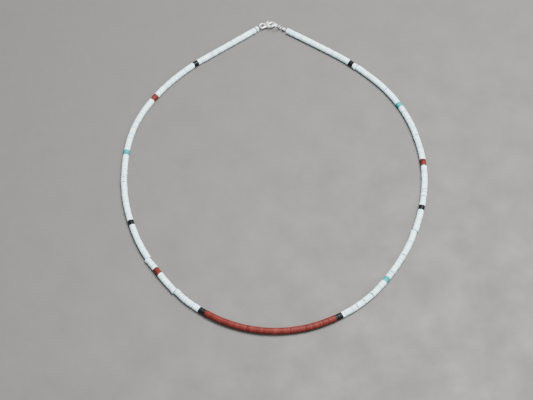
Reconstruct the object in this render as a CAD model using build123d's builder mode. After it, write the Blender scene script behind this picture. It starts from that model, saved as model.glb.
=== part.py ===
# Heishi bead necklace: drilled disc beads strung on one wire and closed by a small claw clasp.
# It lies flat in an open loop. The clasp is at +Y, the long red stretch at -Y, the floor at z = 0.
from build123d import *
from math import cos, pi, radians, sin, sqrt, tan
import os

os.makedirs("parts", exist_ok=True)

# Beads
white_diameter = 2.6
white_thickness = 1.05
red_centre_diameter = 2.85
red_centre_thickness = 1.2
accent_diameter = 2.65
accent_thickness = 1.15
bead_bore = 0.9
bead_gap = 0.15

# Beading wire
wire_diameter = 0.4
right_lead = 3.5
left_lead = 2.1
arc_share = 0.45

# Claw clasp
claw_direction = 12
eye_diameter = 3.1
eye_hole = 1.85
eye_thickness = 1.1
neck_length = 1.35
neck_diameter = 1.9
neck_rounding = 0.6
housing_length = 1.9
claw_width = 3.3
claw_thickness = 1.9
mouth_length = 2.5
mouth_width = 1.8
nose_wall = 0.8
nose_thickness = 1.0
hook_overlap = 0.6
crease_rounding = 0.7
edge_rounding = 0.2

# Thumb lever, on a pin across the claw
pivot_setback = 0.5
pivot_across = 0.8
pin_diameter = 0.5
pin_clearance = 0.03
pin_proud = 0.05
lever_thickness = 0.9
lever_rise = 0.32
lever_tip_diameter = 0.6
lever_hub_diameter = 1.3
thumb_reach = 1.2
thumb_diameter = 0.8
running_gap = 0.1

# Loops, crimp and jump ring
loop_clearance = 0.25
crimp_width = 1.5
crimp_height = 1.1
crimp_length = 1.4
crimp_setback = 1.0
crimp_clearance = 0.05
ring_diameter = 4.8
ring_wire = 0.5
ring_lean = 27
ring_direction = -20

# Wire route seen from above, from near the clasp at the right, round the front, to the claw's eye
route_points = [
    (21.6, 68.0), (37.8, 57.2), (54.2, 41.2), (64.5, 21.2), (68.6, -6.3), (61.9, -34.9),
    (48.6, -57.6), (32.8, -72.7), (9.9, -82.2), (-15.4, -81.0), (-38.8, -68.0),
    (-56.5, -46.0), (-65.4, -23.4), (-67.9, -4.3), (-66.1, 17.7), (-57.3, 36.7),
    (-41.6, 54.5), (-25.1, 66.0), (-7.4, 78.8),
]

# Coloured bands along the strand: stone, beads, how thick they are as a share of the accent
# thickness, and the band's middle as a share of the strand
bands = [
    dict(stone="black", beads=2, thickness=1.0, middle=0.0822),
    dict(stone="turquoise", beads=2, thickness=1.0, middle=0.156),
    dict(stone="red", beads=3, thickness=0.88, middle=0.2318),
    dict(stone="black", beads=2, thickness=1.0, middle=0.286),
    dict(stone="turquoise", beads=2, thickness=1.0, middle=0.3767),
    dict(stone="black", beads=3, thickness=0.78, middle=0.4386),
    dict(stone="black", beads=3, thickness=0.78, middle=0.576),
    dict(stone="red", beads=3, thickness=0.88, middle=0.6383),
    dict(stone="black", beads=2, thickness=1.0, middle=0.7002),
    dict(stone="turquoise", beads=2, thickness=1.0, middle=0.7847),
    dict(stone="red", beads=3, thickness=0.88, middle=0.8595),
    dict(stone="black", beads=2, thickness=1.0, middle=0.9217),
]
red_centre_after_band = 6
loose_from = 0.28
loose_to = 0.71

up = Vector(0, 0, 1)

# Every bead hangs on the one straight wire, as high as the widest of them needs
axis_height = max(red_centre_diameter, accent_diameter, white_diameter) / 2
wire_radius = wire_diameter / 2


def level_way(degrees):
    """Level direction at an angle from +X."""
    return Vector(cos(radians(degrees)), sin(radians(degrees)), 0)


def at_axis(point):
    """Point of the route at the height of the beads' axes."""
    return Vector(*point, axis_height)


# Left end: the wire runs straight into a loop round the rim of the claw's eye
left_end = at_axis(route_points[-1])
left_way = (left_end - at_axis(route_points[-2])).normalized()
eye_rim = (eye_diameter - eye_hole) / 2
left_loop_radius = sqrt(eye_rim**2 + eye_thickness**2) / 2 + loop_clearance / 2 + wire_radius
left_loop_centre = left_end + left_way * left_loop_radius
eye_centre = left_loop_centre + left_way * (eye_hole + eye_rim) / 2

# Claw: its length runs along +X of this plane and the lever is on the +Y side
claw_way = level_way(claw_direction)
claw_plane = Plane(origin=eye_centre, x_dir=claw_way, z_dir=up)
side_plane = Plane(origin=eye_centre, x_dir=claw_way, z_dir=claw_way.cross(up))
housing_end = neck_length + housing_length
mouth_middle = housing_end + mouth_length / 2
mouth_end = housing_end + mouth_length
claw_length = mouth_end + nose_wall
hook_length = claw_length - neck_length
hook_middle = neck_length + hook_length / 2
housing_start = neck_length + neck_diameter / 2
hook_end = mouth_end - hook_overlap
pivot_along = housing_end - pivot_setback
pivot = (pivot_along, pivot_across)
lever_tip = (hook_end - running_gap - lever_tip_diameter / 2, pivot_across + lever_rise)

# Jump ring: it leans towards the front, rests on the floor and goes round the claw's nose
ring_way = level_way(ring_direction)
lean = radians(ring_lean)
up_the_ring = ring_way.cross(up) * sin(lean) + up * cos(lean)
ring_radius = (ring_diameter - ring_wire) / 2
ring_inside = ring_radius - ring_wire / 2
ring_height = ring_radius * cos(lean) + ring_wire / 2
rise = (ring_height - axis_height) / cos(lean)
half_chord = sqrt(ring_radius**2 - rise**2)
under_nose = rise + nose_thickness / 2 / cos(lean)
nose_room = sqrt(ring_inside**2 - under_nose**2) - running_gap
ring_side = radians(ring_direction - claw_direction)
mouth_edge = 1 / sqrt((2 * cos(ring_side) / mouth_length)**2 + (2 * sin(ring_side) / mouth_width)**2)
mouth_centre = claw_plane.from_local_coords(Vector(mouth_middle, 0, 0))
chord_middle = mouth_centre + ring_way * (mouth_edge + nose_room)
ring_centre = chord_middle + up_the_ring * rise
ring_plane = Plane(origin=ring_centre, x_dir=ring_way, z_dir=ring_way.cross(up_the_ring))

# Right end: the wire comes out of a level loop round the jump ring
right_loop_radius = ring_wire / 2 + loop_clearance + wire_radius
right_loop_centre = chord_middle + ring_way * half_chord
right_way = (right_loop_centre - at_axis(route_points[0])).normalized()
right_end = right_loop_centre - right_way * right_loop_radius
whole_route_points = [(right_end.X, right_end.Y)] + route_points


def corner_radii(points):
    """Radius of each corner's arc, from the shorter of its two runs."""
    radii = []
    for before, corner, after in zip(points, points[1:], points[2:]):
        run_in = Vector(*corner) - Vector(*before)
        run_out = Vector(*after) - Vector(*corner)
        half_turn = radians(run_in.get_angle(run_out) / 2)
        radii.append(arc_share * min(run_in.length, run_out.length) / tan(half_turn))
    return radii


radii = corner_radii(whole_route_points)
with BuildLine(Plane.XY.offset(axis_height)) as route_line:
    FilletPolyline(*whole_route_points, radius=radii)
route = route_line.wires()[0]
strand_length = route.length - right_lead - left_lead
print("route length", round(route.length, 2), "strand", round(strand_length, 2))
print("corner radii", [round(radius, 1) for radius in radii])


def across_route(distance):
    """Plane square to the wire, at a distance along the route."""
    location = route.location_at(distance, position_mode=PositionMode.LENGTH, x_dir=(0, 0, 1))
    return Plane(location)


def export_beads(name, distances, diameter, thickness):
    """Loose drilled beads, one at each distance along the route."""
    with BuildPart() as beads:
        for distance in distances:
            with BuildSketch(across_route(distance)):
                Circle(diameter / 2)
                Circle(bead_bore / 2, mode=Mode.SUBTRACT)
            extrude(amount=thickness / 2, both=True)
    beads.part.label = name
    export_step(beads.part, f"parts/{name}.step")


def export_tube(name, start, end, diameter):
    """One drilled length along the route, in place of a run of beads."""
    with BuildPart() as tube:
        with BuildLine() as stretch:
            add(route.trim(start / route.length, end / route.length))
        with BuildSketch(across_route(start)):
            Circle(diameter / 2)
            Circle(bead_bore / 2, mode=Mode.SUBTRACT)
        sweep(path=stretch.wires()[0])
    tube.part.label = name
    export_step(tube.part, f"parts/{name}.step")


def evenly_spaced(start, end, thickness):
    """Middles of as many beads as fit between two places, with the bead gap or more between."""
    beads = int((end - start + bead_gap) / (thickness + bead_gap))
    pitch = (end - start - thickness) / (beads - 1)
    return [start + thickness / 2 + number * pitch for number in range(beads)]


# Strand: coloured bands with a run of white or red beads before, between and after them
run_start = right_lead
white_runs = 0
counts = {"black": 0, "turquoise": 0, "red": 0}
strand_end = right_lead + strand_length
for number, band in enumerate(bands + [None]):
    if band:
        bead_thickness = accent_thickness * band["thickness"]
        band_length = band["beads"] * (bead_thickness + bead_gap) - bead_gap
        band_start = right_lead + band["middle"] * strand_length - band_length / 2
        run_end = band_start - bead_gap
    else:
        run_end = strand_end
    middle_share = ((run_start + run_end) / 2 - right_lead) / strand_length
    if number == red_centre_after_band:
        places = evenly_spaced(run_start, run_end, red_centre_thickness)
        export_beads("red_centre_run", places, red_centre_diameter, red_centre_thickness)
    else:
        white_runs += 1
        if loose_from < middle_share < loose_to:
            places = evenly_spaced(run_start, run_end, white_thickness)
            export_beads(f"white_run_{white_runs}", places, white_diameter, white_thickness)
        else:
            export_tube(f"white_run_{white_runs}", run_start, run_end, white_diameter)
    if band:
        for bead in range(band["beads"]):
            counts[band["stone"]] += 1
            middle = band_start + bead_thickness / 2 + bead * (bead_thickness + bead_gap)
            name = f"{band['stone']}_bead_{counts[band['stone']]}"
            export_beads(name, [middle], accent_diameter, bead_thickness)
        run_start = band_start + band_length + bead_gap

# Last bead, apart from the others, up against the wire's left loop
end_bead_middle = strand_end + left_lead - wire_radius - bead_gap - white_thickness / 2
export_beads("end_bead", [end_bead_middle], white_diameter, white_thickness)

# Beading wire: the whole route with a closed loop at each end
loops = [
    (Plane(origin=left_loop_centre, x_dir=left_way, z_dir=left_way.cross(up)), left_loop_radius),
    (Plane(origin=right_loop_centre, x_dir=right_way, z_dir=up), right_loop_radius),
]
with BuildPart() as beading_wire:
    with BuildLine() as whole_route:
        add(route)
    with BuildSketch(across_route(0)):
        Circle(wire_radius)
    sweep(path=whole_route.wires()[0])
    for loop_plane, loop_radius in loops:
        with Locations(loop_plane):
            Torus(loop_radius, wire_radius)
beading_wire.part.label = "beading_wire"
export_step(beading_wire.part, "parts/beading_wire.step")
print("beading wire volume", round(beading_wire.part.volume, 2), "mm3, section x length",
      round(pi * wire_radius**2 * route.length, 2))

# Crimp, pressed flat round the wire beside the right loop
with BuildPart() as crimp:
    with BuildSketch(across_route(crimp_setback)):
        Ellipse(crimp_height / 2, crimp_width / 2)
        Circle(wire_radius + crimp_clearance, mode=Mode.SUBTRACT)
    extrude(amount=crimp_length)
crimp.part.label = "crimp"
export_step(crimp.part, "parts/crimp.step")

# Jump ring
with BuildPart() as jump_ring:
    with Locations(ring_plane):
        Torus(ring_radius, ring_wire / 2)
jump_ring.part.label = "jump_ring"
export_step(jump_ring.part, "parts/jump_ring.step")

# Claw body: eye, housing and hook cast in one piece, slotted for the lever
upper_side = [
    (-eye_diameter, eye_thickness / 2), (eye_diameter / 2, eye_thickness / 2),
    (housing_start, claw_thickness / 2), (housing_end, claw_thickness / 2),
    (mouth_middle, nose_thickness / 2), (claw_length + nose_wall, nose_thickness / 2),
]
lower_side = [(along, -half) for along, half in reversed(upper_side)]
slot_start = pivot_along - thumb_diameter / 2 - running_gap
with BuildPart() as claw_body:
    with BuildSketch(claw_plane) as claw_outline:
        Circle(eye_diameter / 2)
        with Locations((housing_start, 0)):
            Circle(neck_diameter / 2)
        make_hull()
        with Locations((hook_middle, 0)):
            Ellipse(hook_length / 2, claw_width / 2)
        neck_corners = claw_outline.vertices().sort_by(Axis.X)[2:4]
        fillet(neck_corners, radius=neck_rounding)
    extrude(amount=claw_thickness / 2, both=True)
    with BuildSketch(side_plane) as claw_side:
        Polygon(*upper_side, *lower_side, align=None)
        creases = claw_side.vertices().filter_by_position(Axis.X, 0, claw_length)
        fillet(creases, radius=crease_rounding)
    extrude(amount=claw_width, both=True, mode=Mode.INTERSECT)
    across_claw = Axis(eye_centre, side_plane.z_dir)
    outline_edges = claw_body.edges().filter_by(across_claw, reverse=True)
    fillet(outline_edges.filter_by(Axis.Z, reverse=True), radius=edge_rounding)
    with BuildSketch(claw_plane):
        Circle(eye_hole / 2)
        with Locations((mouth_middle, 0)):
            Ellipse(mouth_length / 2, mouth_width / 2)
        with Locations((housing_end, 0)):
            Rectangle(hook_end - housing_end, claw_width, align=Align.MIN)
    extrude(amount=claw_thickness, both=True, mode=Mode.SUBTRACT)
    with BuildSketch(claw_plane):
        with Locations(pivot):
            Circle(lever_hub_diameter / 2 + running_gap)
        with Locations((slot_start, pivot_across + claw_width / 2)):
            Rectangle(
                housing_end + running_gap - slot_start,
                claw_width + lever_hub_diameter + 2 * running_gap,
                align=(Align.MIN, Align.CENTER),
            )
    extrude(amount=lever_thickness / 2 + running_gap, both=True, mode=Mode.SUBTRACT)
    with BuildSketch(claw_plane):
        with Locations(pivot):
            Circle(pin_diameter / 2 + pin_clearance)
    extrude(amount=claw_thickness, both=True, mode=Mode.SUBTRACT)
claw_body.part.label = "claw_body"
export_step(claw_body.part, "parts/claw_body.step")

# Thumb lever: hub on the pin, arm that closes the mouth, tab for the thumb
thumb_tip = (pivot_along + thumb_diameter / 2, pivot_across + thumb_reach)
with BuildPart() as thumb_lever:
    with BuildSketch(claw_plane):
        with Locations(pivot):
            Circle(lever_hub_diameter / 2)
        with Locations(lever_tip):
            Circle(lever_tip_diameter / 2)
        make_hull()
    with BuildSketch(claw_plane):
        with Locations(pivot):
            Circle(thumb_diameter / 2)
        with Locations(thumb_tip):
            Circle(thumb_diameter / 2)
        make_hull()
    extrude(amount=lever_thickness / 2, both=True)
    fillet(thumb_lever.edges(), radius=edge_rounding)
    with BuildSketch(claw_plane):
        with Locations(pivot):
            Circle(pin_diameter / 2 + pin_clearance)
    extrude(amount=lever_thickness, both=True, mode=Mode.SUBTRACT)
thumb_lever.part.label = "thumb_lever"
export_step(thumb_lever.part, "parts/thumb_lever.step")

# Pin across the claw, which the lever turns on
pin_length = claw_thickness + 2 * pin_proud
with BuildPart() as lever_pin:
    with BuildSketch(claw_plane):
        with Locations(pivot):
            Circle(pin_diameter / 2)
    extrude(amount=pin_length / 2, both=True)
    chamfer(lever_pin.edges(), length=pin_proud)
lever_pin.part.label = "lever_pin"
export_step(lever_pin.part, "parts/lever_pin.step")

pin_place = claw_plane.from_local_coords(Vector(*pivot, 0))
print("lever pin at", [round(value, 3) for value in pin_place], "mm, axis +Z")
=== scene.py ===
# Looks of the heishi bead necklace: every disc, the clasp's silver, the floor, the light and the camera.
import math
import random

import bpy
from mathutils import Matrix, Vector


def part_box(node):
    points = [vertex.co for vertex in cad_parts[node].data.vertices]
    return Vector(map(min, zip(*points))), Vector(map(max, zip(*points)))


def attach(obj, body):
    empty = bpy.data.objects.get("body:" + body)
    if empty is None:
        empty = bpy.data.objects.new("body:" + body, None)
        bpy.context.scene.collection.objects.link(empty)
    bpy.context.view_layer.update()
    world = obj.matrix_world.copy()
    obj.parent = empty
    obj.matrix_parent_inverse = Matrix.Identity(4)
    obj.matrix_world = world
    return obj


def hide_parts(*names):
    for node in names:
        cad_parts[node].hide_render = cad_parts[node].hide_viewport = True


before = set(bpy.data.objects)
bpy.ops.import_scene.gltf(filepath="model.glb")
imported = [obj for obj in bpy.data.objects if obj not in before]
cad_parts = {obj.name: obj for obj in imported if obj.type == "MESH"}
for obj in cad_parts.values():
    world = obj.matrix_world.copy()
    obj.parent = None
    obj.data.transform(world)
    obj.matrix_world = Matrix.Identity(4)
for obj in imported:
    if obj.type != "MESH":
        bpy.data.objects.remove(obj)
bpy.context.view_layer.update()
MM = 0.001

# Camera, as the photograph's, looking along +Y: degrees above the floor, and the lens in mm
camera_place = Vector((-3.53, -312.25, 491.49)) * MM
camera_elevation = 59
camera_lens = 87.13
sensor_width = 36
camera_near = 10 * MM

# Wire route, the same points as the part's own, at the height of the beads' axes
route_points = [
    (3.4, 79.2), (21.6, 68.0), (37.8, 57.2), (54.2, 41.2), (64.5, 21.2), (68.6, -6.3), (61.9, -34.9),
    (48.6, -57.6), (32.8, -72.7), (9.9, -82.2), (-15.4, -81.0), (-38.8, -68.0),
    (-56.5, -46.0), (-65.4, -23.4), (-67.9, -4.3), (-66.1, 17.7), (-57.3, 36.7),
    (-41.6, 54.5), (-25.1, 66.0), (-7.4, 78.8),
]
axis_height = 1.425 * MM
right_lead = 3.5 * MM
left_lead = 2.1 * MM
route_order = 3
route_steps = 24
# Coloured discs whose middles are nearer than this belong to one band
band_reach = 2.0 * MM

# Discs. The rim's bevel varies by bevel_range, gets part of the joint's painted shade and dust at its
# middle, and has a flat row rim_margin bevels from the face, so that the rim shades straight.
disc_sides = 32
bore_radius = 0.45 * MM
bore_bevel = 0.05 * MM
bevel_range = (0.7, 1.6)
bevel_shade_and_dust = 0.6
rim_margin = 1.6
sharp_angle = 50
floor_gap = 0.03 * MM
# Joints are drawn from joint_widths, as multiples of joint_gap. The faces at a joint get painted shade, with
# some dust, the darker the wider the joint is.
joint_gap = 0.02 * MM
joint_widths = (1, 1, 1, 1.5, 2, 3.5, 8)
# A joint this wide gets the full painted shade and dust on its faces
full_shade_and_dust_joint = 0.08 * MM
# Painted shade and dust on the faces at both ends of a stretch
run_end_shade_and_dust = 0.5
# Waves that make a rim unround
wave_lobes = (2, 3, 4)
wave_sizes = (0.2, 1)
wave_share = 0.5
# Chips in a rim and the notch at a marked joint: depths are shares of the stone's own, widths and the
# notch's sway are in radians, inset is at most this share of the thickness, and a chip as deep as deep_chip
# is painted as fully as a joint, with painted shade and dust (in black stone a painted highlight)
chip_tries = 3
chip_depths = (0.35, 1)
chip_widths = (0.14, 0.36)
chip_inset = 0.3
deep_chip = 0.35 * MM
notch_width = 0.45
notch_sway = 0.3
# How the discs of each stone vary. Lengths are in mm and pitch is one disc with its joint. Spread is
# of thickness, small of diameter and unround of the rim, all as shares. Bevel is the rim's worn corner.
# Open is the joints' width as a share of the white ones'. Lean is in degrees and aside is how far a
# disc stands out of line. Chips is the chance of each chip in a rim and chip is how deep it is. Notch
# is how deep the rim is broken at a marked joint, as a share of how far that joint opens.
stones = {
    "white": dict(diameter=2.62, pitch=1.07, spread=0.3, small=0.045, bevel=0.05, unround=0.010,
                  open=1.0, lean=0.9, aside=0.045, chips=0.4, chip=0.20, notch=1.9),
    "red_centre": dict(diameter=2.84, pitch=1.17, spread=0.22, small=0.006, bevel=0.015, unround=0.002,
                       open=0.2, lean=0.15, aside=0.010, chips=0.05, chip=0.06, notch=0.2),
    "red": dict(diameter=2.64, pitch=1.1, spread=0.12, small=0.02, bevel=0.03, unround=0.004,
                open=0.6, lean=0.3, aside=0.03, chips=0.1, chip=0.08, notch=0.2),
    "turquoise": dict(diameter=2.64, pitch=1.1, spread=0.12, small=0.02, bevel=0.03, unround=0.006,
                      open=0.6, lean=0.4, aside=0.03, chips=0.2, chip=0.10, notch=0.2),
    "black": dict(diameter=2.65, pitch=1.1, spread=0.08, small=0.01, bevel=0.06, unround=0.003,
                  open=0.5, lean=0.3, aside=0.02, chips=0.05, chip=0.06, notch=0.2),
}
# Places along the strand that stand out: at is in mm from its right end and open is how far the joint
# opens. Before and after are how far the discs on its two sides stand outside the loop, turn is how
# far they turn, in degrees, and over is the length of the fade. What isn't written is as in no_slip.
no_slip = dict(open=0.0, before=0.0, after=0.0, turn=0, over=1.0)
marked_places = [
    dict(at=39.8, open=0.14, before=-0.26, after=0.08, over=2.2),
    dict(at=57.8, open=0.15),
    dict(at=83.2, open=0.12),
    dict(at=87.5, open=0.14, before=-0.12, after=-0.12, over=1.6),
    dict(at=93.3, open=0.12),
    dict(at=102.1, turn=-7, over=4.0),
    dict(at=107.0, open=0.10),
    dict(at=112.8, open=0.08),
    dict(at=116.0, open=0.08),
    dict(at=120.2, open=0.12),
    dict(at=138.6, open=0.10, before=0.14, after=-0.26, over=2.6),
    dict(at=152.0, open=0.16, turn=3, over=3.0),
    dict(at=161.1, open=0.16),
    dict(at=162.9, open=0.10),
    dict(at=174.9, open=0.24, before=0.08, over=1.5),
    dict(at=180.3, open=0.12),
    dict(at=183.9, open=0.14),
    dict(at=186.2, open=0.08),
    dict(at=190.4, open=0.08),
    dict(at=198.3, open=0.09),
    dict(at=200.8, open=0.09),
    dict(at=204.5, open=0.03),
    dict(at=207.5, open=0.13, before=0.05, after=0.05, over=1.5),
    dict(at=214.5, open=0.13),
    dict(at=225.7, open=0.05, before=0.04, after=0.04, over=1.5),
    dict(at=232.4, open=0.13),
    dict(at=267.9, open=0.16, before=-0.22, after=0.24, turn=5, over=2.6),
    dict(at=278.0, open=0.05, after=-0.12, over=2.5),
    dict(at=288.3, open=0.10, before=0.45, after=-0.14, turn=-3, over=2.4),
    dict(at=329.3, open=0.12, before=0.06, after=0.06, over=2.0),
    dict(at=331.5, open=0.10),
    dict(at=359.0, open=0.08, turn=8, over=8.0),
    dict(at=399.2, open=0.06, before=-0.05, after=-0.05, over=2.0),
    dict(at=441.7, before=0.22, after=0.22, turn=9, over=0.6),
]
slips = [dict(no_slip, **place) for place in marked_places]
red_centre_after_band = 6
# Last disc, by itself beside the clasp
end_disc_thickness = 1.0 * MM
# Painted shade and dust on both faces of the last disc
end_disc_shade_and_dust = 0.5

# Metal pieces with worn edges: each takes its node's form, remade with voxels and smoothed in rounds
castings = [
    dict(node="claw_body", name="claw_casting", body="necklace", voxel=0.06 * MM, rounds=8),
    dict(node="thumb_lever", name="lever_casting", body="lever", voxel=0.05 * MM, rounds=4),
    dict(node="crimp", name="pressed_crimp", body="necklace", voxel=0.05 * MM, rounds=6),
]
smoothing = 0.5

# Noise and veins in the materials
noise_roughness = 0.55
vein_bend = 0.6
vein_bend_scale = 1.5

# Floor, sky and lights: places and sizes in metres, power in watts
floor_size = 3.0
sky_colour = (0.82, 0.93, 1.0)
sky_strength = 1.05
lights = [
    dict(name="key", place=(0.26, 0.16, 0.86), size=0.50, power=31, colour=(1.0, 0.99, 0.97)),
    dict(name="window", place=(0.36, -0.58, 0.48), size=0.18, power=2.4, colour=(0.95, 0.98, 1.0)),
]

draw = random.Random(11)


def linked(name, data):
    """New object in the scene."""
    piece = bpy.data.objects.new(name, data)
    bpy.context.collection.objects.link(piece)
    return piece


def make_camera():
    """Camera at the photograph's angle and distance."""
    data = bpy.data.cameras.new("camera")
    data.lens = camera_lens
    data.sensor_width = sensor_width
    data.sensor_fit = "HORIZONTAL"
    data.clip_start = camera_near
    camera = linked("camera", data)
    camera.location = camera_place
    camera.rotation_euler = (math.radians(90 - camera_elevation), 0, 0)
    bpy.context.scene.camera = camera


def read_route():
    """Points of the smooth line through the route, with the length of line before each."""
    curve = bpy.data.curves.new("route", "CURVE")
    curve.dimensions = "3D"
    curve.resolution_u = route_steps
    spline = curve.splines.new("NURBS")
    spline.points.add(len(route_points) - 1)
    for point, (x, y) in zip(spline.points, route_points):
        point.co = (x * MM, y * MM, axis_height, 1)
    spline.order_u = route_order
    spline.use_endpoint_u = True
    carrier = bpy.data.objects.new("route", curve)
    mesh = bpy.data.meshes.new_from_object(carrier)
    places = [vertex.co.copy() for vertex in mesh.vertices]
    bpy.data.objects.remove(carrier)
    bpy.data.meshes.remove(mesh)
    bpy.data.curves.remove(curve)
    lengths = [0.0]
    for before, after in zip(places, places[1:]):
        lengths.append(lengths[-1] + (after - before).length)
    return places, lengths


make_camera()
route_places, route_lengths = read_route()
route_length = route_lengths[-1]


def place_at(distance):
    """Point of the route at a distance along it."""
    distance = min(max(distance, 0), route_length)
    low, high = 0, len(route_lengths) - 1
    while high - low > 1:
        middle = (low + high) // 2
        if route_lengths[middle] <= distance:
            low = middle
        else:
            high = middle
    share = (distance - route_lengths[low]) / (route_lengths[high] - route_lengths[low])
    return route_places[low].lerp(route_places[high], share)


def way_at(distance):
    """Direction of the route at a distance along it."""
    return (place_at(distance + MM) - place_at(distance - MM)).normalized()


def distance_of(place):
    """Distance along the route of its nearest point to a place."""
    best = min(range(len(route_places)), key=lambda index: (route_places[index] - place).length)
    near = route_places[best]
    return route_lengths[best] + (place - near).dot(way_at(route_lengths[best]))


def slip_at(distance):
    """How far the places that stand out shift and turn a disc at a distance."""
    aside = 0.0
    turn = 0.0
    for slip in slips:
        away = (distance - right_lead - slip["at"] * MM) / (slip["over"] * MM)
        fade = math.exp(-away * away)
        aside += slip["before" if away < 0 else "after"] * fade
        turn += slip["turn"] * fade
    return aside * MM, math.radians(turn)


def strung(start, end, stone, count):
    """Discs of a stretch, uneven as hand-cut discs are: each disc's middle, its thickness, how much painted
    shade and dust its face gets on each side, which follows how wide the joint there is, and the notch in
    each face."""
    style = stones[stone]
    shares = [1 + draw.uniform(-style["spread"], style["spread"]) for _ in range(count)]
    joints = [joint_gap * style["open"] * draw.choice(joint_widths) for _ in range(count - 1)]
    notches = [0.0] * (count + 1)
    for slip in slips:
        share = (right_lead + slip["at"] * MM - start) / (end - start)
        if joints and 0 < share < 1:
            near = min(range(1, count), key=lambda number: abs(sum(shares[:number]) / sum(shares) - share))
            joints[near - 1] += slip["open"] * MM
            notches[near] = slip["open"] * style["notch"] * MM
    scale = (end - start - sum(joints)) / sum(shares)
    face_shade_and_dust = [run_end_shade_and_dust] + [min(1, joint / full_shade_and_dust_joint) for joint in joints] + [run_end_shade_and_dust]
    discs = []
    edge = start
    for number, (share, joint) in enumerate(zip(shares, joints + [0.0])):
        thickness = share * scale
        faces = [(face_shade_and_dust[number], notches[number]), (face_shade_and_dust[number + 1], notches[number + 1])]
        discs.append((edge + thickness / 2, thickness, faces))
        edge += thickness + joint
    return discs


def disc_profile(thickness, radius, bevel):
    """Section of one disc, from the bore round the rim and back: along, radius, edge, and shift.

    edge is 1 at the joint and 0 on the rim. shift is 1 where the point moves with the disc's
    outside and 0 where it stays with the bore."""
    half = thickness / 2
    corner = 1 - math.sqrt(0.5)
    side = [
        (half - bore_bevel, bore_radius, 1.0, 0.0),
        (half, bore_radius + bore_bevel, 1.0, 0.0),
        (half, radius - bevel, 1.0, 1.0),
        (half - bevel * corner, radius - bevel * corner, bevel_shade_and_dust, 1.0),
        (half - bevel, radius, 0.0, 1.0),
        (half - bevel * rim_margin, radius, 0.0, 1.0),
    ]
    front = [(-along, out, edge, shift) for along, out, edge, shift in side]
    return front + [(0.0, radius, 0.0, 1.0)] + side[::-1]


def add_disc(store, disc, stone):
    """Adds one disc's points and faces, with its own tone, to a piece that is being made."""
    distance, thickness, faces = disc
    (shade_and_dust_before, notch_before), (shade_and_dust_after, notch_after) = faces
    style = stones[stone]
    radius = style["diameter"] / 2 * MM * (1 - draw.random() ** 2 * style["small"])
    bevel = style["bevel"] * MM * draw.uniform(*bevel_range)
    way = way_at(distance)
    outward = Vector((-way.y, way.x, 0))
    up = Vector((0, 0, 1))
    lean = math.radians(draw.uniform(-1, 1) * style["lean"])
    slip_aside, slip_turn = slip_at(distance)
    turn = math.radians(draw.uniform(-1, 1) * style["lean"]) + slip_turn
    tilt = Matrix.Rotation(turn, 3, up) @ Matrix.Rotation(lean, 3, outward)
    forward = tilt @ way
    across = tilt @ outward
    above = tilt @ up
    centre = place_at(distance)
    aside = draw.uniform(-1, 1) * style["aside"] * MM + slip_aside
    drop = radius + floor_gap - axis_height
    waves = [
        (lobes, draw.uniform(*wave_sizes) * style["unround"], draw.uniform(0, math.tau))
        for lobes in wave_lobes
    ]
    chips = []
    for _ in range(chip_tries):
        if draw.random() < style["chips"]:
            depth = style["chip"] * draw.uniform(*chip_depths) * MM
            face, middle = draw.choice((-1, 1)), draw.uniform(0, math.tau)
            chips.append((face, middle, depth, draw.uniform(*chip_widths)))
    for face, depth in ((-1, notch_before), (1, notch_after)):
        if depth:
            middle = math.pi / 2 + draw.uniform(-notch_sway, notch_sway)
            chips.append((face, middle, depth, notch_width))
    tone = draw.random()
    profile = disc_profile(thickness, radius, bevel)
    start = len(store["places"])
    for along, out, edge, shift in profile:
        for side in range(disc_sides):
            angle = side * math.tau / disc_sides
            reach = out
            inset = 0.0
            worn = 0.0
            if shift:
                for lobes, size, phase in waves:
                    reach += radius * size * math.sin(lobes * angle + phase) * wave_share
                for face, middle, depth, width in chips:
                    apart = math.remainder(angle - middle, math.tau) / width
                    if along * face > 0:
                        dip = math.exp(-apart * apart)
                        reach -= depth * dip * edge
                        inset = max(inset, min(depth, thickness * chip_inset) * dip * (1 - edge))
                        # A chip is painted like a joint, with painted shade and dust, more the deeper it is
                        worn = max(worn, dip * min(1, depth / deep_chip + edge))
            offset = across * (reach * math.cos(angle)) + above * (reach * math.sin(angle))
            offset += forward * (along - math.copysign(inset, along)) + (outward * aside + up * drop) * shift
            store["places"].append(centre + offset)
            # The edge value carries painted shade, with dust, to joint faces, bevels and chips; black stone
            # paints it lighter, as a rim highlight
            store["edge"].append(max(worn, edge * (shade_and_dust_before if along < 0 else shade_and_dust_after)))
            store["tone"].append(tone)
    rows = len(profile)
    for row in range(rows):
        below = start + row * disc_sides
        over = start + (row + 1) % rows * disc_sides
        for side in range(disc_sides):
            after = (side + 1) % disc_sides
            store["faces"].append((below + side, over + side, over + after, below + after))


def make_discs(name, discs, stone, material, nodes):
    """One piece of discs, in place of the nodes that it stands for."""
    store = dict(places=[], faces=[], edge=[], tone=[])
    for disc in discs:
        add_disc(store, disc, stone)
    mesh = bpy.data.meshes.new(name)
    mesh.from_pydata(store["places"], [], store["faces"])
    for label in ("edge", "tone"):
        mesh.attributes.new(label, "FLOAT", "POINT").data.foreach_set("value", store[label])
    mesh.shade_smooth()
    mesh.set_sharp_from_angle(angle=math.radians(sharp_angle))
    mesh.materials.append(material)
    piece = linked(name, mesh)
    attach(piece, "necklace")
    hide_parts(*nodes)


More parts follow.
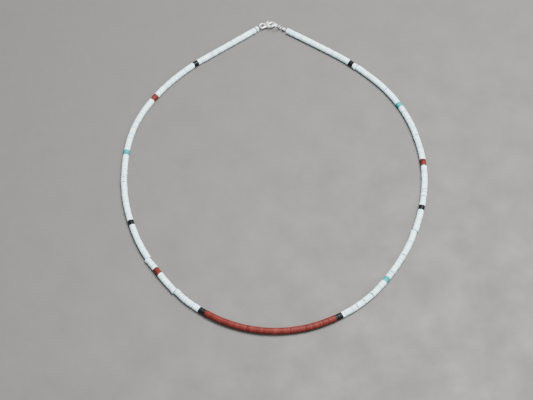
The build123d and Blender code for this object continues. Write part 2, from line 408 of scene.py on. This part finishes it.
class Surface:
    """One material with its shader, and short calls for the nodes that feed it."""

    def __init__(self, name):
        self.material = bpy.data.materials.new(name)
        self.material.use_nodes = True
        self.nodes = self.material.node_tree.nodes
        self.links = self.material.node_tree.links
        self.shader = self.nodes["Principled BSDF"]
        self.spot = self.nodes.new("ShaderNodeTexCoord").outputs["Object"]

    def set(self, **values):
        """Constant values on the shader's own sockets."""
        for name, value in values.items():
            self.shader.inputs[name.replace("_", " ")].default_value = value

    def noise(self, scale, detail=3.0, stretch=(1, 1, 1)):
        """Cloudy values with features of about 1 / scale metres."""
        mapping = self.nodes.new("ShaderNodeMapping")
        mapping.inputs["Scale"].default_value = stretch
        self.links.new(self.spot, mapping.inputs["Vector"])
        node = self.nodes.new("ShaderNodeTexNoise")
        node.inputs["Scale"].default_value = scale
        node.inputs["Detail"].default_value = detail
        node.inputs["Roughness"].default_value = noise_roughness
        self.links.new(mapping.outputs["Vector"], node.inputs["Vector"])
        return node.outputs["Fac"]

    def veins(self, scale, width):
        """Thin branching lines, 1 on a line and 0 elsewhere."""
        node = self.nodes.new("ShaderNodeTexVoronoi")
        node.feature = "DISTANCE_TO_EDGE"
        node.inputs["Scale"].default_value = scale
        bend = self.nodes.new("ShaderNodeVectorMath")
        bend.operation = "MULTIPLY_ADD"
        noise = self.nodes.new("ShaderNodeTexNoise")
        noise.inputs["Scale"].default_value = scale * vein_bend_scale
        self.links.new(self.spot, noise.inputs["Vector"])
        self.links.new(noise.outputs["Color"], bend.inputs[0])
        bend.inputs[1].default_value = (vein_bend / scale,) * 3
        self.links.new(self.spot, bend.inputs[2])
        self.links.new(bend.outputs["Vector"], node.inputs["Vector"])
        return self.span(node.outputs["Distance"], 0, width, 1, 0)

    def value(self, name):
        """A value kept on the mesh."""
        node = self.nodes.new("ShaderNodeAttribute")
        node.attribute_name = name
        return node.outputs["Fac"]

    def times(self, first, second):
        """Two values multiplied."""
        node = self.nodes.new("ShaderNodeMath")
        node.operation = "MULTIPLY"
        self.links.new(first, node.inputs[0])
        self.links.new(second, node.inputs[1])
        return node.outputs["Value"]

    def span(self, source, low, high, out_low, out_high):
        """A range of values turned into another range, and held inside it."""
        node = self.nodes.new("ShaderNodeMapRange")
        node.inputs["From Min"].default_value = low
        node.inputs["From Max"].default_value = high
        node.inputs["To Min"].default_value = out_low
        node.inputs["To Max"].default_value = out_high
        self.links.new(source, node.inputs["Value"])
        return node.outputs["Result"]

    def ramp(self, source, *stops):
        """Colours along a range of values, each stop a place and a colour."""
        node = self.nodes.new("ShaderNodeValToRGB")
        elements = node.color_ramp.elements
        while len(elements) < len(stops):
            elements.new(0.5)
        for element, (place, colour) in zip(elements, stops):
            element.position = place
            element.color = (*colour, 1)
        self.links.new(source, node.inputs["Fac"])
        return node.outputs["Color"]

    def blend(self, amount, under, over):
        """Two colours mixed. Each is a socket or a plain colour."""
        node = self.nodes.new("ShaderNodeMix")
        node.data_type = "RGBA"
        self.links.new(amount, node.inputs["Factor"])
        for name, colour in (("A", under), ("B", over)):
            socket = [item for item in node.inputs if item.name == name and item.type == "RGBA"][0]
            if isinstance(colour, tuple):
                socket.default_value = (*colour, 1)
            else:
                self.links.new(colour, socket)
        return [item for item in node.outputs if item.type == "RGBA"][0]

    def colour(self, source):
        """Feeds the base colour."""
        self.links.new(source, self.shader.inputs["Base Color"])

    def roughness(self, source):
        """Feeds the roughness."""
        self.links.new(source, self.shader.inputs["Roughness"])

    def bump(self, *layers):
        """Fine relief, each layer a height and its depth in metres."""
        normal = None
        for height, depth in layers:
            node = self.nodes.new("ShaderNodeBump")
            node.inputs["Distance"].default_value = depth
            self.links.new(height, node.inputs["Height"])
            if normal:
                self.links.new(normal, node.inputs["Normal"])
            normal = node.outputs["Normal"]
        self.links.new(normal, self.shader.inputs["Normal"])


def white_shell():
    """Bright ground shell, chalky and cool, with faint growth clouds, and painted shade with some dust in
    the joints and chips.
    """
    look = Surface("white_shell")
    cloud_colour = (0.70, 0.78, 0.78)
    fleck_colour = (0.55, 0.48, 0.38)
    dust_and_shade_colour = (0.10, 0.09, 0.085)
    disc = look.ramp(look.value("tone"), (0.0, (0.49, 0.71, 0.77)), (0.15, (0.57, 0.82, 0.92)),
                     (0.6, (0.63, 0.87, 0.97)), (1.0, (0.73, 0.93, 0.99)))
    cloud = look.span(look.noise(700), 0.5, 0.8, 0, 0.4)
    base = look.blend(cloud, disc, cloud_colour)
    fleck = look.span(look.noise(1500, detail=2), 0.66, 0.74, 0, 0.4)
    base = look.blend(fleck, base, fleck_colour)
    broken = look.span(look.noise(1100, detail=2), 0.4, 0.6, 0.2, 1)
    # Painted shade, with some dust, on joint faces, bevels and chips, darker at wider joints
    dust_and_shade = look.times(look.value("edge"), broken)
    base = look.blend(dust_and_shade, base, dust_and_shade_colour)
    look.colour(base)
    look.roughness(look.span(look.noise(1800), 0.3, 0.7, 0.42, 0.65))
    look.bump((look.noise(2600, detail=4), 0.02 * MM), (look.noise(500), 0.05 * MM))
    look.set(Subsurface_Weight=0.08, Subsurface_Scale=0.4 * MM)
    return look.material


def red_stone():
    """Brick red stone, each disc a little lighter or darker, with a soft polish."""
    look = Surface("red_stone")
    cloud_colour = (0.084, 0.014, 0.011)
    fleck_colour = (0.18, 0.055, 0.036)
    joint_shade_colour = (0.02, 0.005, 0.004)
    disc = look.ramp(look.value("tone"), (0.0, (0.078, 0.012, 0.009)), (0.35, (0.092, 0.015, 0.012)),
                     (0.8, (0.108, 0.018, 0.015)), (1.0, (0.128, 0.024, 0.020)))
    cloud = look.span(look.noise(900, detail=5), 0.35, 0.7, 0, 0.6)
    base = look.blend(cloud, disc, cloud_colour)
    fleck = look.span(look.noise(2200, detail=2), 0.66, 0.72, 0, 0.35)
    base = look.blend(fleck, base, fleck_colour)
    # Painted shade in the joints, darker at wider ones, and in chips
    base = look.blend(look.span(look.value("edge"), 0, 1, 0, 0.85), base, joint_shade_colour)
    look.colour(base)
    look.roughness(look.span(look.noise(1500), 0.3, 0.7, 0.34, 0.46))
    look.bump((look.noise(2200, detail=4), 0.006 * MM), (look.noise(600), 0.015 * MM))
    look.set(Specular_IOR_Level=0.07)
    return look.material


def turquoise():
    """Blue-green turquoise with paler patches and a few thin brown veins."""
    look = Surface("turquoise")
    pale_colour = (0.002, 0.29, 0.285)
    vein_colour = (0.07, 0.05, 0.03)
    joint_shade_colour = (0.005, 0.07, 0.065)
    disc = look.ramp(look.value("tone"), (0.0, (0.0, 0.165, 0.175)), (0.5, (0.0, 0.22, 0.23)),
                     (1.0, (0.0, 0.28, 0.285)))
    pale = look.span(look.noise(800, detail=4), 0.5, 0.75, 0, 0.35)
    base = look.blend(pale, disc, pale_colour)
    base = look.blend(look.veins(700, 0.04), base, vein_colour)
    # Painted shade in the joints, darker at wider ones, and in chips
    base = look.blend(look.span(look.value("edge"), 0, 1, 0, 0.6), base, joint_shade_colour)
    look.colour(base)
    look.roughness(look.span(look.noise(1500), 0.3, 0.7, 0.45, 0.6))
    look.bump((look.noise(2400, detail=4), 0.010 * MM))
    look.set(Specular_IOR_Level=0.06)
    return look.material


def black_stone():
    """Polished black stone with the finest grain, and greyer edges that are a painted rim highlight with
    some wear.
    """
    look = Surface("black_stone")
    rim_sheen_and_wear_colour = (0.05, 0.05, 0.05)
    base = look.ramp(look.noise(1200, detail=4), (0.3, (0.002, 0.002, 0.002)), (0.8, (0.007, 0.007, 0.008)))
    # Painted rim highlight, with some wear: edges at joints and chips in lighter grey
    worn = look.span(look.value("edge"), 0.1, 0.6, 0, 0.7)
    base = look.blend(worn, base, rim_sheen_and_wear_colour)
    look.colour(base)
    look.roughness(look.span(look.noise(2000), 0.3, 0.7, 0.34, 0.46))
    look.bump((look.noise(2500, detail=3), 0.006 * MM))
    look.set(Specular_IOR_Level=0.12)
    return look.material


def silver():
    """Bright silver with fine handling scratches and a trace of tarnish."""
    look = Surface("silver")
    scratch_colour = (0.55, 0.54, 0.52)
    cloud = look.noise(500, detail=5)
    base = look.ramp(cloud, (0.35, (0.96, 0.95, 0.94)), (0.75, (0.84, 0.83, 0.81)))
    scratches = look.noise(5000, detail=3, stretch=(0.15, 1, 1))
    look.colour(look.blend(look.span(scratches, 0.6, 0.7, 0, 0.3), base, scratch_colour))
    look.roughness(look.span(look.noise(1800), 0.3, 0.7, 0.20, 0.36))
    look.bump((scratches, 0.002 * MM), (look.noise(350), 0.012 * MM))
    look.set(Metallic=1.0)
    return look.material


def steel_wire():
    """Twisted fine steel in a clear skin, seen as a light grey thread."""
    look = Surface("steel_wire")
    strands = look.noise(4000, detail=2, stretch=(1, 0.35, 1))
    look.colour(look.ramp(strands, (0.35, (0.72, 0.72, 0.72)), (0.65, (0.36, 0.36, 0.37))))
    look.roughness(look.span(strands, 0.3, 0.7, 0.3, 0.5))
    look.bump((strands, 0.03 * MM))
    look.set(Metallic=1.0, Coat_Weight=0.4)
    return look.material


def pale_floor():
    """Plain pale floor with the faintest unevenness."""
    look = Surface("pale_floor")
    cloud = look.noise(300, detail=4)
    look.colour(look.ramp(cloud, (0.3, (0.072, 0.067, 0.062)), (0.7, (0.077, 0.071, 0.066))))
    look.roughness(look.span(look.noise(60), 0.3, 0.7, 0.55, 0.7))
    return look.material


def found_bands():
    """Coloured bands in their order along the route, with their stone, their nodes and their ends."""
    beads = []
    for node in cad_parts:
        stone, _, number = node.partition("_bead_")
        if number:
            low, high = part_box(node)
            beads.append((distance_of((Vector(low) + Vector(high)) / 2), stone, node))
    bands = []
    for distance, stone, node in sorted(beads):
        if bands and distance - bands[-1]["last"] < band_reach:
            bands[-1]["nodes"].append(node)
            bands[-1]["last"] = distance
        else:
            bands.append(dict(stone=stone, nodes=[node], first=distance, last=distance))
    for band in bands:
        half_pitch = (band["last"] - band["first"]) / (len(band["nodes"]) - 1) / 2
        band["start"] = band["first"] - half_pitch
        band["end"] = band["last"] + half_pitch
    return bands


def make_run(name, start, end, stone, material, node):
    """One run of discs between two bands, as many as the stone's pitch gives."""
    count = round((end - start) / (stones[stone]["pitch"] * MM))
    make_discs(name, strung(start, end, stone, count), stone, material, [node])


def make_strand(looks):
    """All discs: each coloured one at its own node, the others in the runs between the bands."""
    bands = found_bands()
    starts = [right_lead] + [band["end"] + joint_gap for band in bands]
    ends = [band["start"] - joint_gap for band in bands] + [route_length - left_lead]
    white_runs = 0
    for number, (start, end) in enumerate(zip(starts, ends)):
        if number == red_centre_after_band:
            make_run("red_centre_discs", start, end, "red_centre", looks["red"],
                     "red_centre_run")
        else:
            white_runs += 1
            make_run(f"white_discs_{white_runs}", start, end, "white", looks["white"],
                     f"white_run_{white_runs}")
    for band in bands:
        stone = band["stone"]
        discs = strung(band["start"], band["end"], stone, len(band["nodes"]))
        for disc, node in zip(discs, band["nodes"]):
            make_discs(node.replace("bead", "disc"), [disc], stone, looks[stone], [node])
    low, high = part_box("end_bead")
    middle = distance_of((Vector(low) + Vector(high)) / 2)
    end_disc = (middle, end_disc_thickness, [(end_disc_shade_and_dust, 0.0), (end_disc_shade_and_dust, 0.0)])
    make_discs("end_disc", [end_disc], "white", looks["white"], ["end_bead"])


def make_casting(node, name, body, voxel, rounds, material):
    """A metal piece with its node's own form, its edges worn round as cast and tumbled metal has."""
    piece = linked(name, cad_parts[node].data.copy())
    remesh = piece.modifiers.new("even", "REMESH")
    remesh.mode = "VOXEL"
    remesh.voxel_size = voxel
    smooth = piece.modifiers.new("worn", "SMOOTH")
    smooth.factor = smoothing
    smooth.iterations = rounds
    worn = bpy.data.meshes.new_from_object(piece.evaluated_get(bpy.context.evaluated_depsgraph_get()))
    piece.modifiers.clear()
    piece.data = worn
    worn.name = name
    worn.materials.clear()
    worn.materials.append(material)
    worn.shade_smooth()
    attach(piece, body)
    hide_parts(node)


def finish_node(node, material):
    """Gives a kept node its material."""
    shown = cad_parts[node]
    shown.data.materials.clear()
    shown.data.materials.append(material)


def make_light(name, place, size, power, colour):
    """Soft square light that faces the middle of the loop."""
    data = bpy.data.lights.new(name, "AREA")
    data.size = size
    data.energy = power
    data.color = colour
    light = linked(name, data)
    light.location = place
    light.rotation_euler = Vector(place).to_track_quat("Z", "Y").to_euler()


def make_stage():
    """Plain pale floor and an even sky."""
    half = floor_size / 2
    mesh = bpy.data.meshes.new("floor")
    corners = [(-half, -half, 0), (half, -half, 0), (half, half, 0), (-half, half, 0)]
    mesh.from_pydata(corners, [], [(0, 1, 2, 3)])
    mesh.materials.append(pale_floor())
    linked("floor", mesh)
    world = bpy.data.worlds.new("sky")
    world.use_nodes = True
    background = world.node_tree.nodes["Background"]
    background.inputs["Color"].default_value = (*sky_colour, 1)
    background.inputs["Strength"].default_value = sky_strength
    bpy.context.scene.world = world


looks = {"white": white_shell(), "red": red_stone(), "turquoise": turquoise(), "black": black_stone()}
silver_look = silver()
make_strand(looks)
for casting in castings:
    make_casting(material=silver_look, **casting)
finish_node("jump_ring", silver_look)
finish_node("lever_pin", silver_look)
finish_node("beading_wire", steel_wire())

make_stage()
for light in lights:
    make_light(**light)
